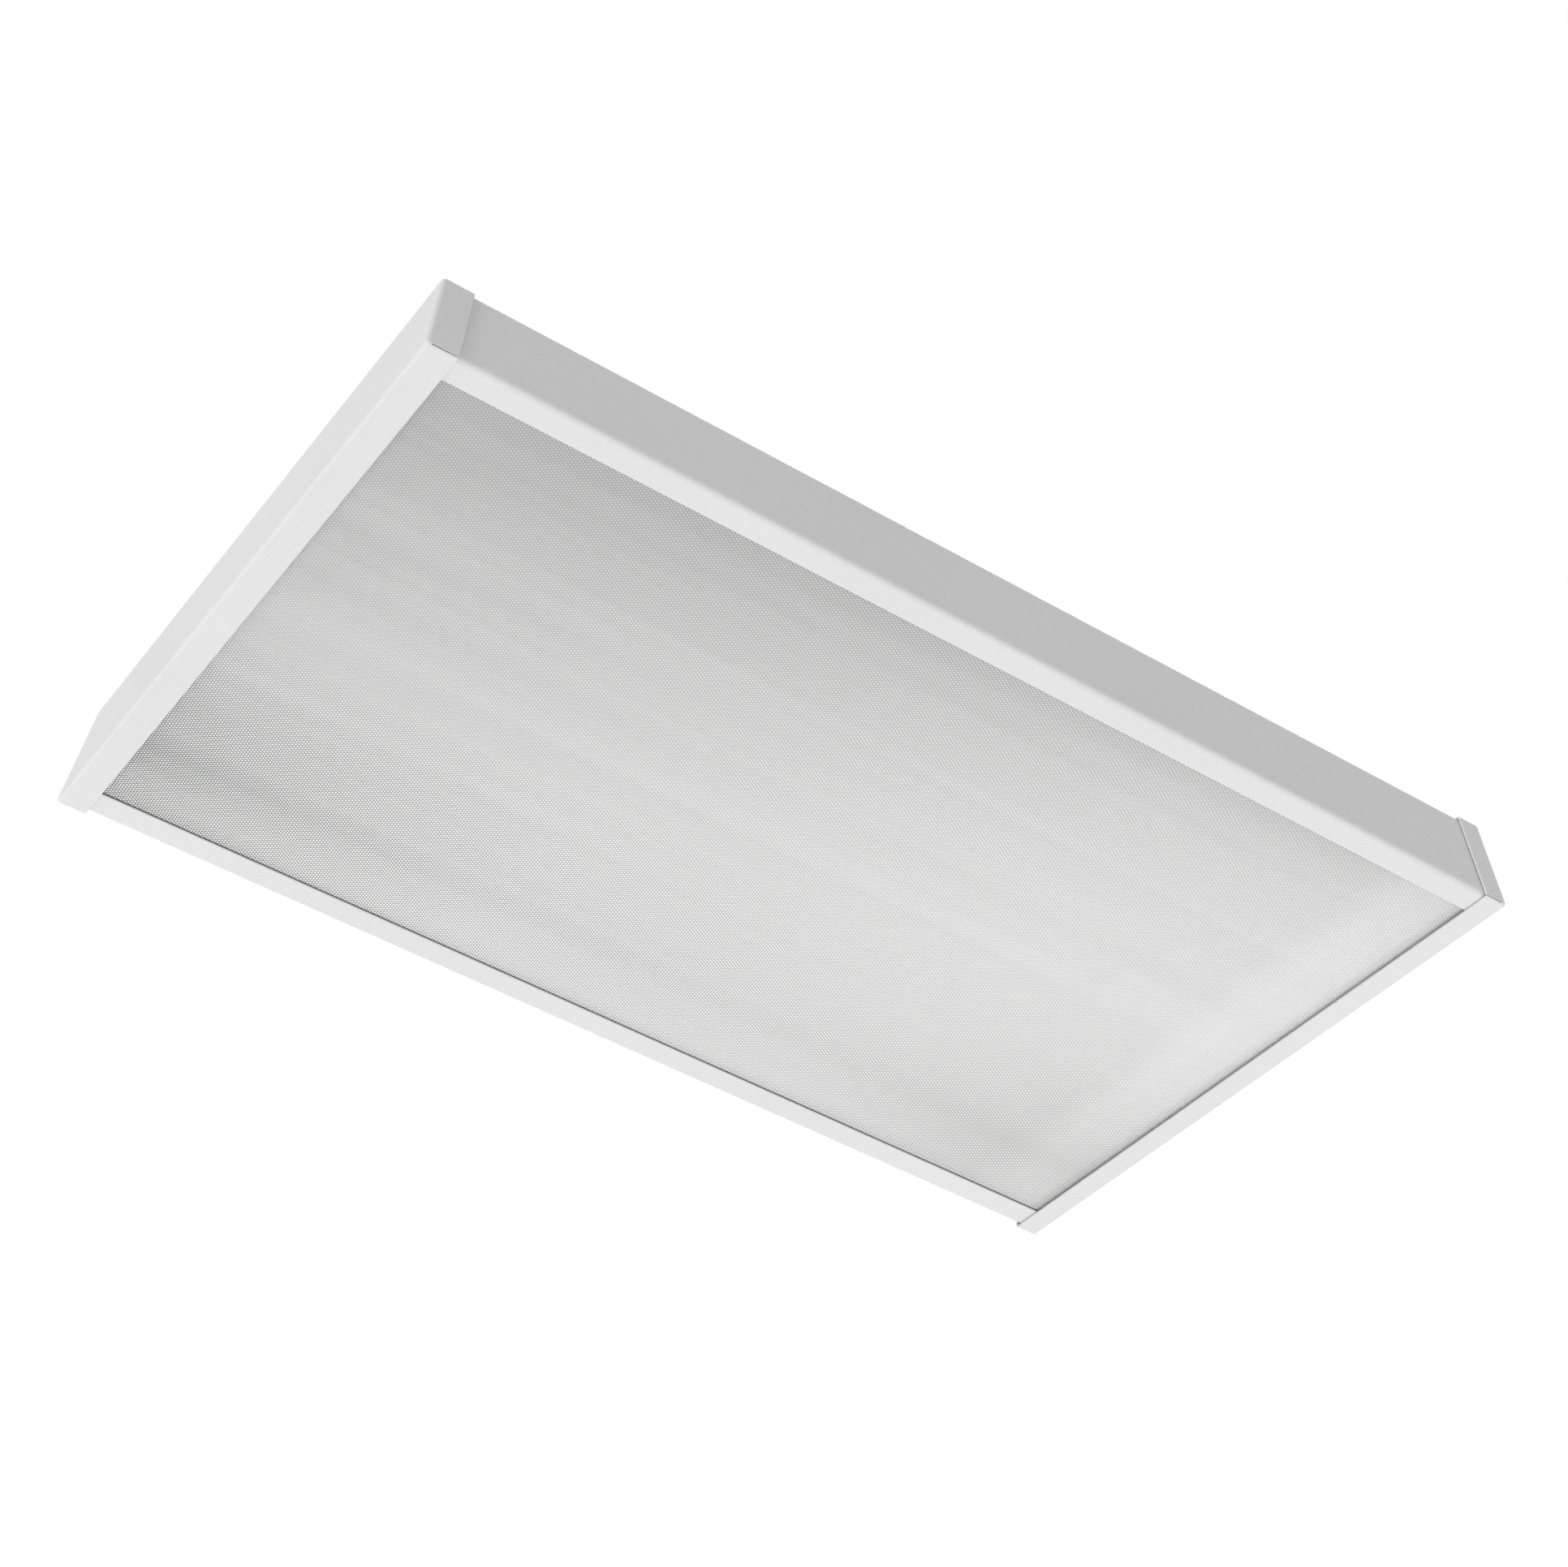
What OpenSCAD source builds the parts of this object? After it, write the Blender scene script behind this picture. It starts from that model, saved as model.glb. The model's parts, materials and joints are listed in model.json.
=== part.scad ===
/* [Body] */
// Length over the end caps, at the lower edge
body_l = 610; // [560:2:760]
// Width over the end caps, at the lower edge
body_w = 391; // [360:1:480]
// Height of the end caps
body_h = 56; // [54:1:80]
// Thickness of the painted steel sheet
sheet_t = 0.9; // [0.7:0.1:1.2]
// How far each long side leans in from its foot to its top
side_lean = 11.4; // [4:0.2:16]
// How far each end face leans in from its foot to its top
end_lean = 5.4; // [2:0.2:9]
// Outside radius of the bend between a long side and its lip
lip_bend_r = 3; // [2:0.1:4]
// Outside radius of the bend between a long side and the top
top_bend_r = 2; // [1.5:0.1:3]
// Width of the front lip that carries the lens
front_lip = 15; // [13:0.5:20]
// Width of the rear lip that carries the lens
rear_lip = 17.5; // [13:0.5:24]

/* [End caps] */
// Width of the flanges of the left end cap
left_flange = 16; // [15:0.5:22]
// Width of the flanges of the right end cap
right_flange = 13; // [12:0.5:18]
// Outside radius of the bends of an end cap
cap_bend_r = 2; // [1.5:0.1:3]
// Gap between an end cap's flanges and the housing inside them
cap_gap = 0.5; // [0.3:0.1:0.8]
// Width of the open seam where two flanges of a cap meet
cap_seam = 0.8; // [0.3:0.1:1]
// How far the housing's ends stop short of the end faces, at the top
housing_end_gap = 2; // [1:0.5:3]
// Distance between the two screws of an end cap
cap_screw_span = 220; // [120:5:300]
// Distance from a screw of an end cap to the free edge of its flange
cap_screw_edge = 6; // [5:0.5:7]

/* [Lens] */
// Thickness of the prismatic lens
lens_t = 3; // [2:0.1:4]
// Thickness of the gasket strips under the lens
gasket_t = 0.5; // [0.4:0.1:2]
// Width of the gasket strips
gasket_w = 7; // [5:0.5:9]
// Gap that lets the lens slide on its gaskets
lens_slide_gap = 0.2; // [0.1:0.05:0.4]
// Gap between the lens and the walls round it
lens_side_gap = 1.5; // [1:0.1:3]

/* [Lamp tray] */
// Height of the tray between the housing's top and the tray's face
tray_depth = 27.7; // [27:0.1:32]
// Gap between the tray's flanges and the housing's sides, at the top
tray_side_gap = 5.3; // [4:0.1:14]
// Gap between the tray's ends and the housing's ends
tray_end_gap = 10; // [8:0.5:20]
// Width of the flanges by which the tray hangs
tray_flange = 11.5; // [11:0.5:14]
// Number of screws along each flange of the tray
tray_screw_count = 3; // [2:1:5]

/* [Lamp boards] */
// Bare tray between the outer lamp boards and the tray's sides
board_side_gap = 40; // [30:0.5:50]
// Width of a lamp board
board_w = 24; // [20:0.5:30]
// Thickness of a lamp board
board_t = 1.6; // [1:0.1:2]
// Bare tray beyond each end of a lamp board
board_end_gap = 44; // [36:0.5:50]
// Distance from one lamp to the next along a board
lamp_pitch = 18; // [12:0.5:30]
// Side of a lamp package
lamp_side = 3.5; // [2.8:0.1:5]
// Height of a lamp package
lamp_t = 0.8; // [0.5:0.1:1.5]

/* [Reflector ribs] */
// Clear height between the lens and the ribs' crests
rib_lens_gap = 6.7; // [5:0.1:9]
// Width of a rib's crest
rib_crest = 10; // [6:0.5:12]
// How far each side of a rib leans out from its crest to its foot
rib_lean = 3; // [1:0.2:4]
// Width of the flanges by which a rib is welded to the tray
rib_flange = 6; // [5:0.5:7]

/* [Wiring cover] */
// Length of the cover over the right grommet
cover_l = 78; // [60:1:84]
// Clear height between the lens and the cover
cover_lens_gap = 5.3; // [4:0.1:7]
// Gap between the cover and the lamp boards beside it
cover_gap = 1.5; // [1:0.1:4]

/* [Drivers] */
// Length of a driver's case
driver_l = 186; // [150:1:200]
// Width of a driver's case
driver_w = 50; // [40:1:60]
// Height of a driver
driver_h = 23; // [18:0.5:24]
// Length of the ear at each end of a driver's base
driver_ear = 10; // [8:0.5:12]
// Gap between a driver's ear and the grommet beyond it
driver_end_gap = 9; // [5:0.5:14]

/* [Wiring] */
// Diameter of an insulated lead
lead_d = 2.2; // [1.6:0.1:2.6]
// Length of the terminal block across the housing
terminal_l = 40; // [34:1:50]
// Width of the terminal block
terminal_w = 18; // [14:0.5:24]
// Height of the terminal block
terminal_h = 15; // [12:0.5:18]
// Radius of the hole through a grommet
grommet_bore_r = 5; // [4.5:0.1:6]

/* [Wiring access] */
// Length of the access opening in the top
access_l = 104; // [80:1:110]
// Width of the access opening in the top
access_w = 80; // [60:1:110]
// How far the access plate laps over the opening's edge
access_lap = 12; // [9:0.5:16]
// Radius of the conduit hole in the access plate
conduit_r = 11.1; // [8:0.1:14]

/* [Hangers] */
// Distance from the middle of the housing to a hanger's pivot
hanger_x = 195; // [185:1:230]
// Distance between the ears of a hanger bracket
hanger_span = 130; // [100:1:170]
// Thickness of the hanger brackets
hanger_t = 1.5; // [1:0.1:2]
// Diameter of the wire of a hanger bail
bail_d = 3.8; // [3:0.1:5]
// Reach of a bail from its pivot to the middle of its crown
bail_reach = 78; // [50:1:84]
// Distance between the fixing holes along the top
fixing_l = 480; // [460:5:500]
// Distance between the fixing holes across the top
fixing_w = 270; // [250:5:280]
// Radius of the fixing holes
fixing_r = 3.5; // [2.5:0.1:5]

/* [Hidden] */

// Number of lamp boards side by side, each with a node of its own
board_count = 4;
// Smallest overlap that a cutting shape has beyond the face that it cuts
cut = 1;
// Facets of round shapes, of the balls in a hull and of a lead
round_fn = 48;
ball_fn = 24;
lead_fn = 8;
wire_fn = 12;
// Segments in each bend of a folded sheet and of a lead
bend_steps = 5;
soft_steps = 4;
// Angles that bring the sweep of a bend into half a turn either way
half_turn = 180;
full_turn = 360;

// Sizes of the fasteners, shared by all of them
screw_r = 2;
screw_head_r = 3.8;
screw_head_h = 2.2;
screw_clear = 0.1;
small_screw_r = 1.3;
small_head_r = 2.5;
small_head_h = 1.6;
nut_side = 7;
nut_t = 2.5;
screw_tail = 1;

// Colours
white_paint = [0.90, 0.90, 0.90];
zinc = [0.66, 0.67, 0.69];

// Heights that follow from the sheet and the gaps
cap_step = sheet_t + cap_gap;
lip_top_z = cap_step + sheet_t;
lens_z = lip_top_z + gasket_t + lens_slide_gap;
roof_z = body_h - cap_step;
ceiling_z = roof_z - sheet_t;
tray_z = ceiling_z - tray_depth;
tray_top_z = tray_z + sheet_t;
board_z = tray_z - board_t;

// Lengths and widths that follow from the leaning walls
function lean_y(z) = side_lean * z / body_h;
function lean_x(z) = end_lean * z / body_h;
side_slant = sqrt(1 + pow(side_lean / body_h, 2));
end_slant = sqrt(1 + pow(end_lean / body_h, 2));
function half_w(z, inset) = body_w / 2 - lean_y(z) - inset * side_slant;
function half_l(z, inset) = body_l / 2 - lean_x(z) - inset * end_slant;
housing_half_l = half_l(body_h, sheet_t) - housing_end_gap;
lens_top_z = lens_z + lens_t;
lens_half_l = half_l(lens_top_z, sheet_t) - lens_side_gap;
lens_half_w = half_w(lens_top_z, cap_step + sheet_t) - lens_side_gap;
front_lip_y = -half_w(cap_step, cap_step) + front_lip;
rear_lip_y = half_w(cap_step, cap_step) - rear_lip;
tray_half_l = housing_half_l - tray_end_gap;
tray_w = 2 * (half_w(ceiling_z, cap_step + sheet_t) - tray_side_gap - tray_flange - sheet_t);
board_half_l = tray_half_l - board_end_gap;
function cap_screw_x(flange) = half_l(body_h, 0) - flange + cap_screw_edge;
cap_screw_y = cap_screw_span / 2;
tray_screw_y = tray_w / 2 + sheet_t + tray_flange / 2;
board_pitch = (tray_w - 2 * board_side_gap - board_w) / (board_count - 1);
function board_y(i) = (i - (board_count - 1) / 2) * board_pitch;

// Unit vector along v
function unit(v) = v / norm(v);

// The arc that rounds the corner b between the neighbouring corners a and c
function corner_arc(a, b, c, r) =
    let (
        u = unit(a - b),
        w = unit(c - b),
        half = acos(u * w) / 2,
        centre = b + unit(u + w) * r / sin(half),
        from = b + u * r / tan(half) - centre,
        to = b + w * r / tan(half) - centre,
        start = atan2(from.y, from.x),
        sweep = (atan2(to.y, to.x) - start + full_turn + half_turn) % full_turn - half_turn
    )
    [for (i = [0:bend_steps]) centre + r * [
        cos(start + sweep * i / bend_steps),
        sin(start + sweep * i / bend_steps)
    ]];

// A closed outline with each corner rounded to its own radius
function rounded(points, radii) =
    let (n = len(points))
    [for (i = [0:n - 1]) each corner_arc(points[(i + n - 1) % n], points[i], points[(i + 1) % n], radii[i])];

// The section across the body, inset from the end caps' outside
function section(inset) = [
    [-half_w(inset, inset), inset],
    [half_w(inset, inset), inset],
    [half_w(body_h - inset, inset), body_h - inset],
    [-half_w(body_h - inset, inset), body_h - inset]
];

// Extrudes an outline drawn in Y and Z along X, centred
module along_x(length) {
    rotate([90, 0, 90])
        translate([0, 0, -length / 2])
            linear_extrude(height = length) children();
}

// A pan-head screw that hangs down from the seat under its head
module screw(length, r = screw_r, head_r = screw_head_r, head_h = screw_head_h) {
    dome_r = head_r * 1.8;
    slot_l = head_r * 1.1;
    slot_w = head_r * 0.28;
    slot_z = head_h * 0.45;
    translate([0, 0, -length])
        cylinder(h = length + head_h / 2, r = r, $fn = round_fn);
    difference() {
        intersection() {
            cylinder(h = head_h, r = head_r, $fn = round_fn);
            translate([0, 0, head_h - dome_r])
                sphere(r = dome_r, $fn = round_fn);
        }
        for (turn = [0, 90])
            rotate([0, 0, turn])
                translate([-slot_l / 2, -slot_w / 2, slot_z])
                    cube([slot_l, slot_w, head_h]);
    }
}

// A screw of the same form whose head hangs below a ceiling
module ceiling_screw(length, r, head_r, head_h) {
    mirror([0, 0, 1]) screw(length, r, head_r, head_h);
}

// A route with its inner corners rounded, each as far as its two legs have room
end_leg = 0.7;
mid_leg = 0.45;
function softened(route, reach) =
    let (last = len(route) - 1)
    [for (i = [0:last]) each i == 0 || i == last ? [route[i]] :
        let (
            back = route[i - 1] - route[i],
            on = route[i + 1] - route[i],
            back_room = norm(back) * (i == 1 ? end_leg : mid_leg),
            on_room = norm(on) * (i == last - 1 ? end_leg : mid_leg),
            room = min(reach, back_room, on_room),
            from = route[i] + unit(back) * room,
            to = route[i] + unit(on) * room
        )
        [for (k = [0:soft_steps]) let (t = k / soft_steps)
            (1 - t) * (1 - t) * from + 2 * t * (1 - t) * route[i] + t * t * to]];

// The tangent of a route at each of its points
function tangents(route) =
    let (last = len(route) - 1)
    [for (i = [0:last]) unit(
        (i < last ? unit(route[i + 1] - route[i]) : [0, 0, 0])
        + (i > 0 ? unit(route[i] - route[i - 1]) : [0, 0, 0])
    )];

// A vector square to each tangent, carried along the route without twist
function carried(turns, start, i = 0, found = []) =
    i == len(turns) ? found :
    let (before = i == 0 ? start : found[i - 1])
    carried(turns, start, i + 1, concat(found, [unit(before - (before * turns[i]) * turns[i])]));

// A round tube with flat ends along a route
module tube(route, r, sides, start = [0, 0, 1]) {
    t = tangents(route);
    n = carried(t, start);
    last = len(route) - 1;
    points = [for (i = [0:last]) let (b = cross(t[i], n[i])) for (k = [0:sides - 1])
        route[i] + r * (cos(360 * k / sides) * n[i] + sin(360 * k / sides) * b)];
    walls = [for (i = [0:last - 1]) for (k = [0:sides - 1]) let (m = (k + 1) % sides) each [
        [i * sides + k, (i + 1) * sides + m, i * sides + m],
        [i * sides + k, (i + 1) * sides + k, (i + 1) * sides + m]
    ]];
    first_end = [[for (k = [0:sides - 1]) k]];
    last_end = [[for (k = [sides - 1:-1:0]) last * sides + k]];
    polyhedron(points = points, faces = concat(first_end, walls, last_end));
}

// Housing: one folded sheet with a top, two leaning sides and a lip along each side
module housing() {
    outer = [lip_bend_r, lip_bend_r, top_bend_r, top_bend_r];
    inner = [for (r = outer) r - sheet_t];
    color(white_paint)
    difference() {
        along_x(2 * housing_half_l)
            difference() {
                polygon(rounded(section(cap_step), outer));
                polygon(rounded(section(cap_step + sheet_t), inner));
                translate([front_lip_y, 0])
                    square([rear_lip_y - front_lip_y, lip_top_z + cut]);
            }
        roof_cut_z = ceiling_z - cut;
        roof_cut_h = sheet_t + 2 * cut;
        translate([-access_l / 2, -access_w / 2, roof_cut_z])
            cube([access_l, access_w, roof_cut_h]);
        for (side = [-1, 1]) {
            translate([-cap_screw_x(left_flange), side * cap_screw_y, roof_cut_z])
                cylinder(h = roof_cut_h, r = screw_r + screw_clear, $fn = round_fn);
            translate([cap_screw_x(right_flange), side * cap_screw_y, roof_cut_z])
                cylinder(h = roof_cut_h, r = screw_r + cap_gap, $fn = round_fn);
            translate([cap_screw_x(right_flange), side * cap_screw_y - screw_r - cap_gap, roof_cut_z])
                cube([right_flange, 2 * (screw_r + cap_gap), roof_cut_h]);
            translate([side * access_screw_x, 0, roof_cut_z])
                cylinder(h = roof_cut_h, r = screw_r + screw_clear, $fn = round_fn);
            for (end = [-1, 1])
                translate([end * fixing_l / 2, side * fixing_w / 2, roof_cut_z])
                    cylinder(h = roof_cut_h, r = fixing_r, $fn = round_fn);
            for (end = [-1, 1])
                translate([end * hanger_x, side * hanger_screw_y, roof_cut_z])
                    cylinder(h = roof_cut_h, r = screw_r + screw_clear, $fn = round_fn);
        }
        for (x = tray_screw_xs)
            for (side = [-1, 1])
                translate([x, side * tray_screw_y, roof_cut_z])
                    cylinder(h = roof_cut_h, r = screw_r + screw_clear, $fn = round_fn);
    }
}

// A box over the whole body with leaning walls and rounded edges
module cap_block(inset) {
    ball = cap_bend_r - inset;
    hull()
        for (z = [cap_bend_r, body_h - cap_bend_r])
            for (end = [-1, 1])
                for (side = [-1, 1])
                    translate([end * half_l(z, cap_bend_r), side * half_w(z, cap_bend_r), z])
                        sphere(r = ball, $fn = ball_fn);
}

// End cap on the right: an end face with four flanges folded round the housing
module end_cap(flange) {
    difference() {
        cap_block(0);
        cap_block(sheet_t);
        rotate([90, 0, 0])
            translate([0, 0, -body_w])
                linear_extrude(height = 2 * body_w)
                    polygon([
                        [-body_l, -cut],
                        [half_l(-cut, 0) - flange, -cut],
                        [half_l(body_h + cut, 0) - flange, body_h + cut],
                        [-body_l, body_h + cut]
                    ]);
        // Open seams: one under each side flange, and one in the top flange beside each
        seam_l = 2 * flange;
        seam_deep = 2 * cap_bend_r + sheet_t;
        seam_start = seam_l + cap_bend_r + sheet_t;
        for (side = [0, 1])
            mirror([0, side, 0]) {
                translate([half_l(0, seam_start), half_w(0, cap_bend_r + sheet_t), sheet_t])
                    cube([seam_l, seam_deep, cap_seam]);
                translate([
                    half_l(body_h, seam_start),
                    half_w(body_h, sheet_t) - cap_seam,
                    body_h - seam_deep
                ])
                    cube([seam_l, cap_seam, 2 * seam_deep]);
            }
        for (side = [-1, 1])
            translate([cap_screw_x(flange), side * cap_screw_y, body_h - sheet_t - cut])
                cylinder(h = sheet_t + 2 * cut, r = screw_r + screw_clear, $fn = round_fn);
    }
}

module left_end_cap() {
    color(white_paint) mirror([1, 0, 0]) end_cap(left_flange);
}

module right_end_cap() {
    color(white_paint) end_cap(right_flange);
}

// Screws that hold the left cap to the housing's top
module left_cap_screws() {
    color(zinc)
    for (side = [-1, 1])
        translate([-cap_screw_x(left_flange), side * cap_screw_y, body_h])
            screw(cap_step + sheet_t + nut_t);
}

// Screws of the right cap, which stand in open notches of the housing's top
module right_cap_screws() {
    color(zinc)
    for (side = [-1, 1])
        translate([cap_screw_x(right_flange), side * cap_screw_y, body_h])
            screw(cap_step + sheet_t + cap_gap + nut_t + screw_tail);
}

// Square nuts that the right cap's screws draw up under the housing's top
module right_cap_nuts() {
    color(zinc)
    for (side = [-1, 1])
        translate([cap_screw_x(right_flange), side * cap_screw_y, ceiling_z - cap_gap - nut_t])
            difference() {
                translate([-nut_side / 2, -nut_side / 2, 0])
                    cube([nut_side, nut_side, nut_t]);
                translate([0, 0, -cut])
                    cylinder(h = nut_t + 2 * cut, r = screw_r + screw_clear / 2, $fn = round_fn);
            }
}

// Prismatic lens: a flat sheet that slides in from the right
module lens() {
    color([0.84, 0.85, 0.86])
    translate([-lens_half_l, -lens_half_w, lens_z])
        cube([2 * lens_half_l, 2 * lens_half_w, lens_t]);
}

// Gasket strips on the lips, level with the lips' free edges
module gasket(y) {
    color([0.22, 0.22, 0.23])
    translate([-housing_half_l, y, lip_top_z])
        cube([2 * housing_half_l, gasket_w, gasket_t]);
}

module front_gasket() {
    gasket(front_lip_y - gasket_w);
}

module rear_gasket() {
    gasket(rear_lip_y);
}

// Screws along the tray's flanges
tray_screw_inset = 24;
tray_screw_reach = tray_half_l - tray_screw_inset;
tray_screw_xs = [for (i = [0:tray_screw_count - 1])
    -tray_screw_reach + i * 2 * tray_screw_reach / (tray_screw_count - 1)];

// Grommets halfway between the boards' ends and the tray's
grommet_x = tray_half_l - board_end_gap / 2;
grommet_wall = 1.5;
grommet_lip = 1;
grommet_groove_r = grommet_bore_r + grommet_wall;
grommet_lip_r = grommet_groove_r + grommet_wall;

// Lamp tray: a hat-shaped sheet that hangs from the top and carries lamps and drivers
module lamp_tray() {
    half = tray_w / 2;
    color(white_paint)
    difference() {
        along_x(2 * tray_half_l)
            polygon([
                [-half - sheet_t - tray_flange, ceiling_z],
                [-half - sheet_t - tray_flange, ceiling_z - sheet_t],
                [-half - sheet_t, ceiling_z - sheet_t],
                [-half - sheet_t, tray_z],
                [half + sheet_t, tray_z],
                [half + sheet_t, ceiling_z - sheet_t],
                [half + sheet_t + tray_flange, ceiling_z - sheet_t],
                [half + sheet_t + tray_flange, ceiling_z],
                [half, ceiling_z],
                [half, tray_top_z],
                [-half, tray_top_z],
                [-half, ceiling_z]
            ]);
        for (end = [-1, 1])
            translate([end * grommet_x, 0, tray_z - cut])
                cylinder(h = sheet_t + 2 * cut, r = grommet_groove_r, $fn = round_fn);
        for (x = tray_screw_xs)
            for (side = [-1, 1])
                translate([x, side * tray_screw_y, ceiling_z - sheet_t - cut])
                    cylinder(h = sheet_t + 2 * cut, r = screw_r + screw_clear, $fn = round_fn);
        for (spot = board_screw_spots)
            translate([spot.x, spot.y, tray_z - cut])
                cylinder(h = sheet_t + 2 * cut, r = small_screw_r + screw_clear, $fn = round_fn);
        for (spot = driver_screw_spots)
            translate([spot.x, spot.y, tray_z - cut])
                cylinder(h = sheet_t + 2 * cut, r = small_screw_r + screw_clear, $fn = round_fn);
        for (x = cover_screw_xs)
            translate([x, 0, tray_z - cut])
                cylinder(h = sheet_t + 2 * cut, r = small_screw_r + screw_clear, $fn = round_fn);
        translate([ground_x, ground_y, tray_z - cut])
            cylinder(h = sheet_t + 2 * cut, r = screw_r + screw_clear, $fn = round_fn);
    }
}

module tray_screws() {
    color(zinc)
    for (x = tray_screw_xs)
        for (side = [-1, 1])
            translate([x, side * tray_screw_y, roof_z])
                screw(2 * sheet_t + 2 * screw_tail);
}

// Lamp boards with a row of lamps and screws between them
board_screw_inset = lamp_pitch * 1.5;
board_screw_spots = [for (i = [0:board_count - 1]) for (x = [-1, 0, 1])
    [x * (board_half_l - board_screw_inset), board_y(i)]];
lamp_pairs = floor(board_half_l / lamp_pitch - 0.5);
lamp_xs = [for (i = [0:lamp_pairs - 1]) for (side = [-1, 1]) side * (i + 0.5) * lamp_pitch];
lamp_row_y = board_w / 4;

module lamp_board(i) {
    color([0.93, 0.93, 0.92])
    difference() {
        translate([-board_half_l, board_y(i) - board_w / 2, board_z])
            cube([2 * board_half_l, board_w, board_t]);
        for (spot = board_screw_spots)
            translate([spot.x, spot.y, board_z - cut])
                cylinder(h = board_t + 2 * cut, r = small_screw_r + screw_clear, $fn = round_fn);
    }
}

module lamps(i) {
    color([0.93, 0.83, 0.42])
    for (x = lamp_xs)
        translate([x - lamp_side / 2, board_y(i) + lamp_row_y - lamp_side / 2, board_z - lamp_t])
            cube([lamp_side, lamp_side, lamp_t]);
}

module board_screws() {
    color(zinc)
    for (spot = board_screw_spots)
        translate([spot.x, spot.y, board_z])
            ceiling_screw(board_t + sheet_t + screw_tail, small_screw_r, small_head_r, small_head_h);
}

// Connector at the fed end of each board: the left end for boards 1 and 2, the right end for 3 and 4
connector_l = 12;
connector_w = 18;
connector_t = 4;
function fed_end(i) = i < board_count / 2 ? -1 : 1;
module board_connectors() {
    color([0.95, 0.94, 0.90])
    for (i = [0:board_count - 1])
        translate([fed_end(i) * (board_half_l - connector_l / 2), board_y(i), board_z - connector_t / 2])
            cube([connector_l, connector_w, connector_t], center = true);
}

// Drivers: a base plate with an ear at each end, and a case over it
driver_start = grommet_x - grommet_lip_r - driver_end_gap - driver_ear - driver_l;
driver_mid_x = driver_start + driver_l / 2;
driver_screw_edge = 7;
driver_screw_y = driver_w / 2 - driver_screw_edge;
driver_screw_x = driver_l / 2 + driver_ear / 2;
driver_screw_spots = [for (end = [-1, 1]) for (ear = [-1, 1]) for (side = [-1, 1])
    [end * driver_mid_x + ear * driver_screw_x, side * driver_screw_y]];
driver_sheet = 0.8;

module driver_base(end) {
    color([0.72, 0.73, 0.75])
    difference() {
        translate([end * driver_mid_x - driver_l / 2 - driver_ear, -driver_w / 2, tray_top_z])
            cube([driver_l + 2 * driver_ear, driver_w, driver_sheet]);
        for (spot = driver_screw_spots)
            translate([spot.x, spot.y, tray_top_z - cut])
                cylinder(h = driver_sheet + 2 * cut, r = small_screw_r + screw_clear, $fn = round_fn);
    }
}

module driver_case(end) {
    inner_l = driver_l - 2 * driver_sheet;
    inner_w = driver_w - 2 * driver_sheet;
    color([0.78, 0.79, 0.80])
    difference() {
        translate([end * driver_mid_x - driver_l / 2, -driver_w / 2, tray_top_z + driver_sheet])
            cube([driver_l, driver_w, driver_h - driver_sheet]);
        translate([end * driver_mid_x - inner_l / 2, -inner_w / 2, tray_top_z])
            cube([inner_l, inner_w, driver_h - driver_sheet]);
    }
}

module driver_screws() {
    color(zinc)
    for (spot = driver_screw_spots)
        translate([spot.x, spot.y, tray_top_z + driver_sheet])
            screw(driver_sheet + sheet_t + screw_tail, small_screw_r, small_head_r, small_head_h);
}

// Terminal block under the access opening, with a screw pocket for each pole
terminal_poles = 3;
pole_pitch = terminal_l / (terminal_poles + 1);
pole_r = 2.2;
pole_floor = terminal_h * 0.6;
lead_enter_z = tray_top_z + terminal_h / 2;
function pole_y(pole) = (pole - (terminal_poles - 1) / 2) * pole_pitch;
module terminal_block() {
    color([0.25, 0.26, 0.28])
    difference() {
        translate([-terminal_w / 2, -terminal_l / 2, tray_top_z])
            cube([terminal_w, terminal_l, terminal_h]);
        for (pole = [0:terminal_poles - 1])
            translate([0, pole_y(pole), tray_top_z + pole_floor])
                cylinder(h = terminal_h, r = pole_r, $fn = round_fn);
    }
}

// Ground screw beside the right driver, over the lead's ring terminal; it ends flush under the tray
ring_t = 0.8;
ring_r = 4.4;
ground_gap = 3;
ground_x = terminal_w / 2 + ring_r + ground_gap;
ground_y = max(driver_w, terminal_l) / 2 + ring_r + ground_gap;
module ground_screw() {
    color([0.20, 0.52, 0.28])
    translate([ground_x, ground_y, tray_top_z + ring_t])
        screw(ring_t + sheet_t);
}

// Rubber grommets where the leads pass down through the tray
module grommets() {
    color([0.92, 0.91, 0.87])
    for (end = [-1, 1])
        translate([end * grommet_x, 0, tray_z - grommet_lip])
            rotate_extrude($fn = round_fn)
                polygon([
                    [grommet_bore_r, 0],
                    [grommet_lip_r, 0],
                    [grommet_lip_r, grommet_lip],
                    [grommet_groove_r, grommet_lip],
                    [grommet_groove_r, grommet_lip + sheet_t],
                    [grommet_lip_r, grommet_lip + sheet_t],
                    [grommet_lip_r, 2 * grommet_lip + sheet_t],
                    [grommet_bore_r, 2 * grommet_lip + sheet_t]
                ]);
}

// Leads of the mains side, from a driver to the terminal block
lead_r = lead_d / 2;
lead_straight = 8;
lead_bend = 5;
mains_exit_z = tray_top_z + driver_h * 0.6;
function mains_route(end, pole) =
    let (
        from = driver_start,
        to = terminal_w / 2,
        y = pole_y(pole)
    )
    softened([
        [end * from, y, mains_exit_z],
        [end * (from - lead_straight), y, mains_exit_z],
        [end * (to + lead_straight), y, lead_enter_z],
        [end * to, y, lead_enter_z]
    ], lead_bend);

module line_leads() {
    color([0.10, 0.10, 0.10])
    for (end = [-1, 1])
        tube(mains_route(end, 0), lead_r, lead_fn);
}

module neutral_leads() {
    color([0.92, 0.92, 0.90])
    for (end = [-1, 1])
        tube(mains_route(end, 1), lead_r, lead_fn);
}

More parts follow.
